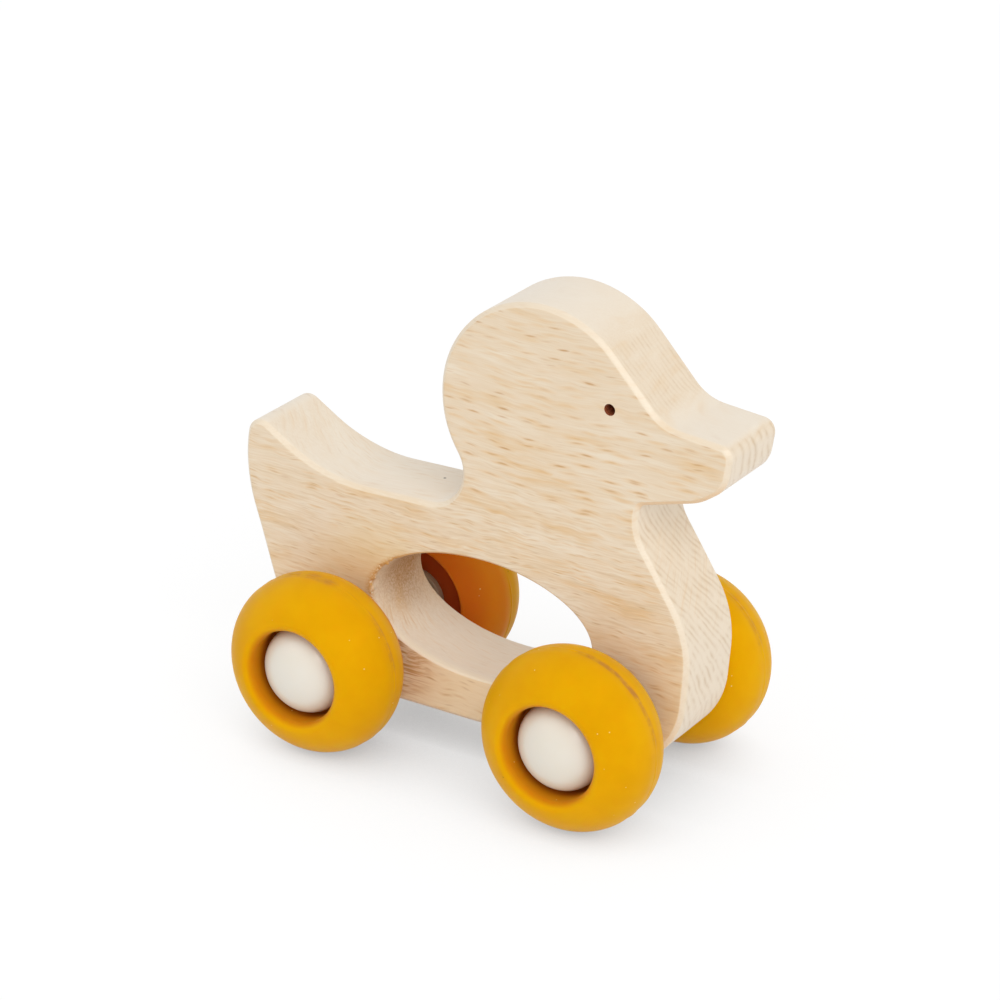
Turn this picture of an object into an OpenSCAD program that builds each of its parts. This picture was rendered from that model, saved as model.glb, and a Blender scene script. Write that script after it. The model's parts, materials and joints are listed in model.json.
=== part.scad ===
// Duck push toy: a beech plank cut to a duck's outline, with a grip hole through
// the body and two steel axles that carry soft tyres on domed plastic hubs.
// The origin is on the floor under the middle of the toy's length.
// The bill points along +X, the left side faces +Y, and +Z is up.

/* [Plank] */
// Thickness of the beech plank
plank_thickness = 19; // [16:0.5:24]
// Radius of the rounded edges round the outline
edge_round = 1.6; // [1:0.1:2.5]
// Distance from the axle line down to the flat belly
belly_drop = 10.9; // [9:0.1:13]

/* [Tail and back] */
// Reach of the tail's upper corner behind the middle of the wheelbase
tail_reach = 55.1; // [52:0.1:57]
// Height of the tail's upper corner above the axle line
tail_height = 45.1; // [43:0.1:50]
// Corner radius of the tail tip
tail_round = 3.3; // [2.6:0.1:4]
// Distance of the hollow of the back behind the middle of the wheelbase
hollow_reach = 36.9; // [33:0.1:40]
// Height of the hollow of the back above the axle line
hollow_height = 34.2; // [31:0.1:36]
// Radius of the hollow of the back
hollow_round = 36; // [20:1:44]
// Reach of the stern's corner behind the middle of the wheelbase
stern_reach = 57.3; // [55:0.1:59]
// Height of the stern's corner above the axle line
stern_height = 32.1; // [28:0.1:34]
// Radius of the stern
stern_round = 34; // [20:1:36]
// Reach of the rump's lower corner behind the middle of the wheelbase
rump_reach = 43.4; // [40:0.1:48]
// Radius of the rump
rump_round = 14; // [6:0.5:20]

/* [Head] */
// Radius of the round head
head_radius = 22.5; // [21:0.1:23]
// Distance of the head's centre in front of the middle of the wheelbase
head_reach = 13.1; // [11:0.1:15]
// Height of the head's centre above the axle line
head_height = 59.6; // [58:0.1:63]
// Height of the notch at the nape above the axle line
nape_height = 35.4; // [33:0.1:37]
// Distance of the notch at the nape in front of the middle of the wheelbase
nape_reach = 2.1; // [-1:0.1:4]
// Radius of the notch at the nape
nape_round = 7.8; // [4:0.1:8]
// Diameter of the drilled eye
eye_diameter = 2.4; // [1.5:0.1:5]
// Depth of the drilled eye
eye_depth = 3; // [1:0.5:8]
// Distance of the eye in front of the head's centre
eye_forward = 15.8; // [10:0.1:18]
// Height of the eye above the head's centre
eye_rise = 4.7; // [0:0.1:8]

/* [Bill] */
// Reach of the bill's tip in front of the middle of the wheelbase
bill_reach = 55.6; // [52:0.1:60]
// Height of the bill's upper corner above the axle line
bill_height = 62.1; // [60:0.1:63]
// Depth of the bill's blunt tip
bill_tip_depth = 8.7; // [7:0.1:10]
// Distance of the tip's lower corner behind its upper corner
bill_tip_slant = 1.3; // [0:0.1:3]
// Radius of the two corners of the bill's tip
bill_round = 2.7; // [2.5:0.1:3.2]
// Distance of the brow, where head and bill meet, in front of the middle of the wheelbase
brow_reach = 40.4; // [38:0.1:44]
// Height of the brow above the axle line
brow_height = 63.4; // [62:0.1:66]
// Radius of the brow
brow_round = 10; // [4:0.5:14]
// Distance of the chin behind the lower corner of the bill's tip
chin_setback = 5.6; // [4:0.1:9]
// Distance of the chin below the lower corner of the bill's tip
chin_drop = 4; // [3:0.1:6]
// Radius of the chin
chin_round = 7.4; // [4:0.1:14]

/* [Breast] */
// Distance of the throat in front of the middle of the wheelbase
throat_reach = 32; // [30:0.1:34]
// Height of the throat above the axle line
throat_height = 44.7; // [43:0.1:47]
// Radius of the throat
throat_round = 4.2; // [3:0.1:8]
// Reach of the breast in front of the middle of the wheelbase
breast_reach = 48.5; // [45:0.1:51]
// Height of the breast above the axle line
breast_height = 19.9; // [17:0.1:24]
// Radius of the breast
breast_round = 24; // [14:0.5:30]
// Reach of the keel, the lower front corner, in front of the middle of the wheelbase
keel_reach = 46.2; // [43:0.1:49]
// Radius of the keel
keel_round = 18.2; // [10:0.1:22]

/* [Grip hole] */
// Length of the oval grip hole
grip_length = 51.8; // [40:0.2:56]
// Height of the oval grip hole
grip_height = 26.2; // [20:0.2:28]
// Height of the grip hole's middle above the axle line
grip_rise = 12.3; // [11:0.1:14]
// Distance of the grip hole's middle in front of the middle of the wheelbase
grip_forward = 0.5; // [-2:0.1:3]
// Radius of the rounded edges of the grip hole
grip_edge_round = 0.5; // [0.3:0.1:1.5]

/* [Wheels] */
// Distance between the two axles
wheelbase = 60; // [56:0.5:64]
// Outer diameter of a tyre
tyre_diameter = 38; // [34:0.5:42]
// Diameter of the round section of a tyre, before its holes are cut
tyre_width = 20; // [17:0.2:21]
// Gap between the plank and the widest plane of a tyre's round section
tyre_gap = 2.75; // [1.5:0.05:4]
// Radius of the soft lip round the outer hole of a tyre
lip_round = 2.6; // [1:0.1:3.4]
// Depth of the outer hole of a tyre, measured from its widest plane
outer_recess_depth = 7.2; // [5.5:0.1:8.5]
// Radius of the shallow recess in a tyre's inner side
inner_recess_radius = 11.9; // [8:0.1:13]
// Depth of that recess, measured from the tyre's widest plane
inner_recess_depth = 3.1; // [2.4:0.1:4.6]
// Radius of the edge of that recess
inner_lip_round = 0.5; // [0.2:0.1:0.9]

/* [Hubs] */
// Diameter of a domed hub cap
cap_diameter = 18.4; // [15:0.2:20]
// Height of the straight skirt of a hub cap
cap_skirt = 1; // [0.4:0.1:2]
// Height of the dome above the skirt
cap_dome = 6.35; // [5:0.05:8]
// Gap between a hub cap and the wall of the tyre's hole
cap_gap = 0.2; // [0.1:0.05:0.6]
// Diameter of the hub's sleeve, which fills the bore of the tyre and the socket of the cap
sleeve_diameter = 10; // [8:0.2:11]
// Length of the sleeve inside the hub cap
sleeve_in_cap = 3.6; // [2:0.1:4]
// Diameter of the hub's inner flange
flange_diameter = 13; // [12:0.2:15]
// Thickness of the hub's inner flange
flange_thickness = 1; // [0.8:0.1:1.4]
// Width of the raised rim round the flange
rim_width = 0.8; // [0.5:0.1:1]
// Height of the raised rim above the flange
rim_height = 0.4; // [0.2:0.1:0.6]
// Diameter of the spacer between flange and plank
spacer_diameter = 9; // [7:0.2:10]

/* [Axles] */
// Diameter of a steel axle
axle_diameter = 4; // [3:0.1:5]
// Chamfer at the ends of an axle
axle_chamfer = 0.4; // [0.2:0.1:0.8]
// Distance of an axle's end below the end of the sleeve
axle_inset = 0.4; // [0.2:0.1:1]
// Radial play of an axle in the plank
running_clearance = 0.08; // [0.03:0.01:0.1]
// Radial gap between pieces that are pressed together
press_clearance = 0.02; // [0.01:0.01:0.04]
// Play between a spacer and the plank
side_play = 0.3; // [0.2:0.05:0.6]

/* [Hidden] */
$fn = 96;
// Largest distance between an arc and the chords that stand for it
chord_error = 0.035;
// The same distance as a share of the radius, for tight arcs
chord_share = 0.2;
// Number of steps in each rounded edge
edge_steps = 5;
// Number of sides of the oval grip hole
grip_steps = 72;
// Angle of one step along the round section of a tyre and along a dome
profile_step = 6;
// Angle of one step along the soft lip of a tyre's outer hole
lip_step = 12;
// Angle of one step along the edge of a tyre's inner recess
inner_lip_step = 30;
// Smallest radius that the edge round leaves at a convex corner
corner_margin = 0.2;
// Overrun of a cut past the face it opens through
overrun = 1;
// Full angle of the drill point at the bottom of the eye
drill_angle = 118;

beech = [0.89, 0.80, 0.68];
mustard = [0.86, 0.60, 0.05];
ivory = [0.92, 0.89, 0.82];
steel = [0.72, 0.73, 0.74];

ENDS = ["front", "rear"];
SIDES = ["left", "right"];
WHEEL_PIECES = ["tyre", "hub", "hub_cap", "spacer"];

// Heights and distances that follow from the driving sizes
axle_height = tyre_diameter / 2;
axle_radius = axle_diameter / 2;
wheel_middle = plank_thickness / 2 + tyre_gap + tyre_width / 2;
section_radius = tyre_width / 2;
section_centre = tyre_diameter / 2 - section_radius;
cap_radius = cap_diameter / 2;
hole_radius = cap_radius + cap_gap;
cap_seat = section_radius - outer_recess_depth;
flange_seat = -section_radius + inner_recess_depth;
flange_face = flange_seat - flange_thickness;
sleeve_radius = sleeve_diameter / 2;
sleeve_end = cap_seat + sleeve_in_cap;
socket_top = sleeve_end + axle_inset;
axle_end = wheel_middle + sleeve_end - axle_inset;
spacer_length = wheel_middle + flange_face - plank_thickness / 2 - side_play;

function direction(angle) = [cos(angle), sin(angle)];
function unit(v) = v / norm(v);
function arc_step(radius) = 2 * acos(1 - min(chord_error / radius, chord_share));

// Points on an arc round a centre, from one angle to another
function arc(centre, radius, from, to, step) =
    let (steps = max(2, ceil(abs(to - from) / step)))
    [for (i = [0 : steps]) centre + radius * direction(from + (to - from) * i / steps)];

// The head is a circle that meets the nape and the brow in straight tangents.
// Two corners with the head's radius give the same round.
head_centre = [head_reach, head_height];
nape_point = [nape_reach, nape_height];
brow_point = [brow_reach, brow_height];
function tangent_angle(point, side) =
    let (away = point - head_centre)
    atan2(away.y, away.x) + side * acos(min(1, head_radius / norm(away)));
nape_angle = tangent_angle(nape_point, -1);
head_sweep = (nape_angle - tangent_angle(brow_point, 1) + 720) % 360;
function head_corner(share) =
    let (reach = head_radius / cos(head_sweep / 4))
    concat(head_centre + reach * direction(nape_angle - share * head_sweep), head_radius);

// Lower corner of the bill's slanted tip
bill_low = [bill_reach - bill_tip_slant, bill_height - bill_tip_depth];

// Corners of the duck as [forward, above the axle line, radius], clockwise seen from the right side
duck_corners = [
    [-tail_reach, tail_height, tail_round],
    [-hollow_reach, hollow_height, hollow_round],
    concat(nape_point, nape_round),
    head_corner(1 / 4),
    head_corner(3 / 4),
    concat(brow_point, brow_round),
    [bill_reach, bill_height, bill_round],
    concat(bill_low, bill_round),
    concat(bill_low - [chin_setback, chin_drop], chin_round),
    [throat_reach, throat_height, throat_round],
    [breast_reach, breast_height, breast_round],
    [keel_reach, -belly_drop, keel_round],
    [-rump_reach, -belly_drop, rump_round],
    [-stern_reach, stern_height, stern_round]
];

// Place, edge directions and half angle of a corner
function place(corners, i) = let (c = corners[(i + len(corners)) % len(corners)]) [c.x, c.y];
function side_vector(corners, i, way) = place(corners, i + way) - place(corners, i);
function half_angle(corners, i) =
    acos(unit(side_vector(corners, i, -1)) * unit(side_vector(corners, i, 1))) / 2;
function is_convex(corners, i) = cross(-side_vector(corners, i, -1), side_vector(corners, i, 1)) < 0;

// A convex corner is never tighter than the rounded edge that runs along it
function wanted_radius(corners, i) =
    let (radius = corners[(i + len(corners)) % len(corners)].z)
    is_convex(corners, i) ? max(radius, edge_round + corner_margin) : radius;
function tangent_length(corners, i) = wanted_radius(corners, i) / tan(half_angle(corners, i));

// Neighbouring arcs share the straight between them, so each is limited by its two straights
function straight_share(corners, i, way) =
    norm(side_vector(corners, i, way)) / (tangent_length(corners, i) + tangent_length(corners, i + way));
function corner_radius(corners, i) =
    wanted_radius(corners, i) * min(1, straight_share(corners, i, -1), straight_share(corners, i, 1));

// Points of one rounded corner as [forward, up, outward normal forward, outward normal up]
function corner_arc(corners, i) =
    let (
        half = half_angle(corners, i),
        radius = corner_radius(corners, i),
        before = unit(side_vector(corners, i, -1)),
        after = unit(side_vector(corners, i, 1)),
        centre = place(corners, i) + unit(before + after) * radius / sin(half),
        start = place(corners, i) + before * radius / tan(half) - centre,
        from = atan2(start.y, start.x),
        outward = is_convex(corners, i) ? 1 : -1,
        to = from - outward * (180 - 2 * half),
        steps = max(2, ceil(abs(to - from) / arc_step(radius)))
    )
    [for (s = [0 : steps])
        let (way = direction(from + (to - from) * s / steps))
        concat(centre + radius * way, outward * way)];

// An outline drops a point that falls together with the next one
function apart(points) =
    [for (i = [0 : len(points) - 1])
        let (p = points[i], q = points[(i + 1) % len(points)])
        if (norm([q[0] - p[0], q[1] - p[1]]) > chord_error) p];
duck_outline = apart([for (i = [0 : len(duck_corners) - 1]) each corner_arc(duck_corners, i)]);

// The grip hole is an ellipse, run the other way round so that wood lies on the same hand
grip_outline = [for (i = [0 : grip_steps - 1])
    let (
        angle = 360 * i / grip_steps,
        half_length = grip_length / 2,
        half_height = grip_height / 2,
        way = unit([half_height * cos(angle), half_length * sin(angle)])
    )
    concat([grip_forward + half_length * cos(angle), grip_rise + half_height * sin(angle)], -way)];

outline_x = [for (p = duck_outline) p[0]];
middle_x = (min(outline_x) + max(outline_x)) / 2;

// Moves a piece from the middle of the axle line to the toy's own origin
module seat() {
    translate([-middle_x, 0, axle_height]) children();
}

function drawn_in(outline, inset) = [for (p = outline) [p[0] - inset * p[2], p[1] - inset * p[3]]];

// Half of the band round an outline: from a face of the plank to its edge, as [inset, across]
function edge_profile(side, round) =
    [for (s = [0 : edge_steps])
        let (angle = 90 * s / edge_steps)
        [round * (1 - sin(angle)), side * (plank_thickness / 2 - round * (1 - cos(angle)))]];

// A band with rounded edges that runs round an outline, with its root inside the core
module rounded_rim(outline, round) {
    near = edge_profile(-1, round);
    far = edge_profile(1, round);
    root_inset = round + corner_margin / 2;
    root_across = plank_thickness / 2 - round;
    // The root lies just under the faces, so that the rim and the core overlap
    band = concat(
        [[root_inset, -root_across]],
        near,
        [for (s = [edge_steps : -1 : 0]) far[s]],
        [[root_inset, root_across]]
    );
    width = len(band);
    count = len(outline);
    points = [for (p = outline, b = band) [p[0] - b[0] * p[2], b[1], p[1] - b[0] * p[3]]];
    faces = [for (i = [0 : count - 1], j = [0 : width - 1])
        let (next_i = (i + 1) % count, next_j = (j + 1) % width)
        [i * width + j, i * width + next_j, next_i * width + next_j, next_i * width + j]];
    polyhedron(points, faces, convexity = 10);
}

// Flat heart of the plank, inside the rounded rims
module plank_core() {
    rotate([90, 0, 0])
        linear_extrude(plank_thickness, center = true)
            difference() {
                polygon(drawn_in(duck_outline, edge_round));
                polygon(drawn_in(grip_outline, grip_edge_round));
            }
}

module across(radius, length) {
    rotate([90, 0, 0]) cylinder(r = radius, h = length, center = true);
}

// Blind hole for one eye, with the cone that a drill leaves
module eye_drilling() {
    eye_radius = eye_diameter / 2;
    point_depth = eye_radius / tan(drill_angle / 2);
    rotate_extrude()
        polygon([
            [0, overrun],
            [eye_radius, overrun],
            [eye_radius, -eye_depth],
            [0, -eye_depth - point_depth]
        ]);
}

module duck_body() {
    color(beech)
        seat()
            difference() {
                union() {
                    plank_core();
                    rounded_rim(duck_outline, edge_round);
                    rounded_rim(grip_outline, grip_edge_round);
                }
                for (x = [-wheelbase / 2, wheelbase / 2])
                    translate([x, 0, 0])
                        across(axle_radius + running_clearance, plank_thickness + 2 * overrun);
                for (side = [-1, 1])
                    translate([head_reach + eye_forward, side * plank_thickness / 2, head_height + eye_rise])
                        rotate([-90 * side, 0, 0])
                            eye_drilling();
            }
}

// Wheel pieces are turned about +Z, which points outward, with the tyre's middle plane at zero
module tyre() {
    lip_reach = section_radius - lip_round;
    lip_offset = hole_radius + lip_round - section_centre;
    lip_centre = [hole_radius + lip_round, sqrt(lip_reach ^ 2 - lip_offset ^ 2)];
    lip_angle = atan2(lip_centre.y, lip_offset);
    inner_reach = section_radius - inner_lip_round;
    inner_offset = inner_recess_radius + inner_lip_round - section_centre;
    inner_centre = [inner_recess_radius + inner_lip_round, -sqrt(inner_reach ^ 2 - inner_offset ^ 2)];
    inner_angle = atan2(inner_centre.y, inner_offset);
    bore_radius = sleeve_radius + press_clearance;
    color(mustard)
        rotate_extrude()
            polygon(concat(
                [[bore_radius, flange_seat], [bore_radius, cap_seat], [hole_radius, cap_seat]],
                arc(lip_centre, lip_round, 180, lip_angle, lip_step),
                arc([section_centre, 0], section_radius, lip_angle, inner_angle, profile_step),
                arc(inner_centre, inner_lip_round, inner_angle, -180, inner_lip_step),
                [[inner_recess_radius, flange_seat]]
            ));
}

module hub() {
    bore_radius = axle_radius + press_clearance;
    flange_radius = flange_diameter / 2;
    rim_inside = flange_radius - rim_width;
    color(ivory)
        rotate_extrude()
            polygon([
                [bore_radius, flange_face],
                [rim_inside, flange_face],
                [rim_inside, flange_face - rim_height],
                [flange_radius, flange_face - rim_height],
                [flange_radius, flange_seat],
                [sleeve_radius, flange_seat],
                [sleeve_radius, sleeve_end],
                [bore_radius, sleeve_end]
            ]);
}

module hub_cap() {
    socket_radius = sleeve_radius + press_clearance;
    dome_base = cap_seat + cap_skirt;
    color(ivory)
        rotate_extrude()
            polygon(concat(
                [[0, socket_top], [socket_radius, socket_top]],
                [[socket_radius, cap_seat], [cap_radius, cap_seat]],
                [for (angle = [0 : profile_step : 90])
                    [cap_radius * cos(angle), dome_base + cap_dome * sin(angle)]]
            ));
}

module spacer() {
    bore_radius = axle_radius + press_clearance;
    color(ivory)
        rotate_extrude()
            translate([bore_radius, flange_face - spacer_length])
                square([spacer_diameter / 2 - bore_radius, spacer_length]);
}

module axle() {
    color(steel)
        rotate([90, 0, 0])
            rotate_extrude()
                polygon([
                    [0, -axle_end],
                    [axle_radius - axle_chamfer, -axle_end],
                    [axle_radius, -axle_end + axle_chamfer],
                    [axle_radius, axle_end - axle_chamfer],
                    [axle_radius - axle_chamfer, axle_end],
                    [0, axle_end]
                ]);
}

function axle_x(end) = end == "front" ? wheelbase / 2 : -wheelbase / 2;

// Puts a wheel piece on its end of its axle
module on_axle(end, side) {
    way = side == "left" ? 1 : -1;
    seat()
        translate([axle_x(end), way * wheel_middle, 0])
            rotate([-90 * way, 0, 0])
                children();
}

duck_body();
for (end = ENDS) {
    seat() translate([axle_x(end), 0, 0]) axle();
    for (side = SIDES) {
        on_axle(end, side) tyre();
        on_axle(end, side) hub();
        on_axle(end, side) hub_cap();
        on_axle(end, side) spacer();
    }
}
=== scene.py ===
import json
import math

import bmesh
import bpy
from mathutils import Matrix, Vector, noise


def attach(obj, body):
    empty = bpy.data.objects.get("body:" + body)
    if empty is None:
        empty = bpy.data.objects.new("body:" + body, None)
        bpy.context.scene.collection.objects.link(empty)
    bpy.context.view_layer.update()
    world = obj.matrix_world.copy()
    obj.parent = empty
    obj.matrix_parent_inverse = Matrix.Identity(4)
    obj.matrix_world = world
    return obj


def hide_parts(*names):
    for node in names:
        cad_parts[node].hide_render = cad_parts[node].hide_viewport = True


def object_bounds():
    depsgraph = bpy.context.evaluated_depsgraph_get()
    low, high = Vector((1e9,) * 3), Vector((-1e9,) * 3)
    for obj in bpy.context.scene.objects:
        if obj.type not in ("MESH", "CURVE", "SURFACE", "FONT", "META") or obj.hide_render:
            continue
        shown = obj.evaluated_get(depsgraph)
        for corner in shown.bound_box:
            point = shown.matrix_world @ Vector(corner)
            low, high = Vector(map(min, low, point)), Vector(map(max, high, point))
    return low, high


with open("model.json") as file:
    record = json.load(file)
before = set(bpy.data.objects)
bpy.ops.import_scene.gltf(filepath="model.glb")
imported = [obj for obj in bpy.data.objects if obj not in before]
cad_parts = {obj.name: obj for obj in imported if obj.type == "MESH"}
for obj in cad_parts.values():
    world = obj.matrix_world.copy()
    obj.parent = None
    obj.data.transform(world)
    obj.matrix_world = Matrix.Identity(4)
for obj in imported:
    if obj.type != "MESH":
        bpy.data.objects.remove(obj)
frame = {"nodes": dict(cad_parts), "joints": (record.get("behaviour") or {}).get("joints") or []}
cadBox = [list(corner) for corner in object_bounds()]
scene = bpy.context.scene
mm = 0.001  # every setting below is in millimetres unless it says otherwise
sharpFrom = 38  # degrees between two faces from which their edge shades sharp


def hexColour(text):  # sRGB hex to the linear RGBA that shader sockets take
    parts = [int(text[i:i + 2], 16) / 255 for i in (1, 3, 5)]
    return [p / 12.92 if p <= 0.04045 else ((p + 0.055) / 1.055) ** 2.4 for p in parts] + [1.0]


def grey(level):
    return (level, level, level, 1.0)


def greyStops(rows):  # stops of a ramp, from rows of place and level
    return [(place, grey(level)) for place, level in rows]


def perCell(size):  # the scale that gives cells of this size
    return [1 / length for length in size]


smooth = {"interpolation_type": "SMOOTHSTEP"}  # of a MapRange node


# fills sockets of a node: each takes a value, another node's output, or a node for its first live
# output, and a tuple of sockets takes a tuple
def plug(tree, node, sockets):
    for key, value in sockets.items():
        if isinstance(key, tuple):
            plug(tree, node, dict(zip(key, value)))
            continue
        if isinstance(value, bpy.types.Node):
            value = next(output for output in value.outputs if output.enabled)
        if isinstance(value, bpy.types.NodeSocket):
            tree.links.new(value, node.inputs[key])
        else:
            node.inputs[key].default_value = value


# adds one node with its settings and links; stops are the stops of a ramp
def addNode(tree, kind, sockets=None, stops=None, **settings):
    node = tree.nodes.new("ShaderNode" + kind)
    for name, value in settings.items():
        setattr(node, name, value)
    plug(tree, node, sockets or {})
    if stops:
        ramp = node.color_ramp.elements
        while len(ramp) < len(stops):
            ramp.new(1.0)
        for element, (place, colour) in zip(ramp, stops):
            element.position = place
            element.color = colour
    return node


def startMaterial(name):
    material = bpy.data.materials.new(name)
    material.use_nodes = True
    return material, material.node_tree, material.node_tree.nodes["Principled BSDF"]


def startPlaces(tree):  # the coordinates, and the place at rest in millimetres, whole and by axis
    where = addNode(tree, "TexCoord")
    place = addNode(tree, "VectorMath", {0: where.outputs["Object"], "Scale": 1 / mm}, operation="SCALE")
    return where, place, addNode(tree, "SeparateXYZ", {0: place})


# lays a tint over a tone, as strongly as the shares multiplied say
def layTint(tree, tone, tint, share, *moreShares):
    for more in moreShares:
        share = addNode(tree, "Math", {0: share, 1: more}, operation="MULTIPLY")
    return addNode(tree, "Mix", {0: share, 6: tone, 7: hexColour(tint)}, data_type="RGBA")


def keepMesh(bm, name, materials, body, slot, *nodes):
    bmesh.ops.recalc_face_normals(bm, faces=bm.faces)
    mesh = bpy.data.meshes.new(name)
    bm.to_mesh(mesh)
    bm.free()
    for material in materials:
        mesh.materials.append(material)
    mesh.shade_smooth()
    mesh.set_sharp_from_angle(angle=math.radians(sharpFrom))
    piece = bpy.data.objects.new(name, mesh)
    scene.collection.objects.link(piece)
    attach(piece, body)
    if nodes:
        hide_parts(*nodes)


# the axles give the place of everything: the middle of the wheelbase and the axle line
axleAt = {joint["child"]: Vector(joint["pos_m"]) / mm for joint in frame["joints"]}
frontAxle, rearAxle = axleAt["front_wheels"], axleAt["rear_wheels"]
middle = (frontAxle + rearAxle) / 2
print("frame loaded, axle line at", [round(v, 2) for v in middle])

# Beech, planed, cut to shape and sanded, left bare: pale and slightly pink, satin, with short
# brown ray flecks along the grain, finer dashes low down, and growth rings on the cut ends
# painted light: warm bounce low down and on lower edges, a sheen on top faces, a highlight on the hole's
# lower edge
beech = {
    "ground": "#E8D4B8", "pale": "#ECDDC6", "warm": "#E4C59A", "pore": "#D9BF99", "light": "#F0E3CE",
    "spindleTone": "#C3935C", "dashTone": "#C29A64", "halo": "#E4BF8B", "top": "#F1E6D5",
    "rimTone": "#EDDFC9", "endGround": "#EBDBC4", "endRing": "#D5BD9D", "cloud": "#AB7937",
    "fringe": "#D6A55A", "belly": "#FADFB4", "sunned": "#ECD07E", "sawn": "#C48B3C", "lowerEdgeHighlight": "#F8EBD2",
    "underRimBounce": "#EEC28C", "speck": "#5A4632",
    # share of a tone where it is strongest
    "topSheenShare": 0.75, "bellyShare": 0.6, "rimShare": 0.55, "underBounceShare": 0.55, "sunnedShare": 0.4,
    "lowerEdgeHighlightShare": 0.75, "goldenShare": 0.8,
    "slowWave": (60.0, 30.0, 30.0), "bendBy": 5.0, "tiltWave": (5.0, 8.0, 4.0),
    "pith": (60.0, 95.0),        # across and up: the rings lie round this line, the rays point at it
    "pithAway": 80.0, "ringWidth": 1.35, "ringBend": (45.0, 0.0072), "billRings": (51.0, 0.55),
    "ringUneven": (0.45, 0.8), "ringTilt": 0.9,
    # darkness along one ring, and paleness from an edge's side to its face
    "lateWood": [(0.0, 0.3), (0.28, 0.0), (0.50, 0.25), (0.78, 1.0), (1.0, 0.3)],
    "sandedEdge": [(0.15, 0.0), (0.40, 1.0), (0.86, 1.0), (0.96, 0.0)],
    # cells along the grain, along the ray and across it; a mark fills about a quarter of its cell
    "spindle": (6.4, 20.0, 1.05), "dash": (4.8, 14.0, 0.42), "band": (22.0, 12.0, 3.0),
    "poreLine": (7.0, 0.5, 0.30), "fibre": (5.0, 0.3, 0.3),
    # size of a mark in its cell, and its share on the body and on the head
    "spindleMark": (0.30, 0.18, 0.85), "dashMark": (0.34, 0.62, 0.20),
    # where a zone begins and where it is full: heights, lengths from the middle, places across
    "headFrom": (46.0, 70.0), "bellyFrom": (20.0, -3.0), "endFrom": (26.5, 29.0),
    "fringeAcross": (-8.2, -9.3), "lowerEdgeHighlightAcross": (-6.8, -9.0),
    # the same for distances from a spot
    "sunnedReach": (22.0, 9.0), "cloudReach": (12.5, 2.5), "fringeReach": (17.0, 13.0),
    "sawnReach": (13.0, 3.0), "speckReach": (0.40, 0.15),
    # the same for parts of a face's normal: up, along or across
    "topFacing": (0.65, 1.00), "sideFacing": (0.80, 0.98), "endFacing": (0.45, 0.97),
    "underFacing": (-0.15, -0.55), "rayFacing": (0.15, 0.60), "wallFacing": (0.95, 0.5),
    "lowerEdgeHighlightFacing": (0.30, 0.75), "goldenFacing": (-0.05, -0.40),
    # the same for levels of a noise
    "ringBreak": (0.34, 0.66), "poreDark": (0.50, 0.70), "poreLight": (0.48, 0.30),
    "cloudFuzz": (0.36, 0.64), "fringeFuzz": (0.34, 0.58), "sawnGrit": (0.42, 0.60),
    "roughness": 0.36, "ior": 1.5, "velvet": 0.12,
}


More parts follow.
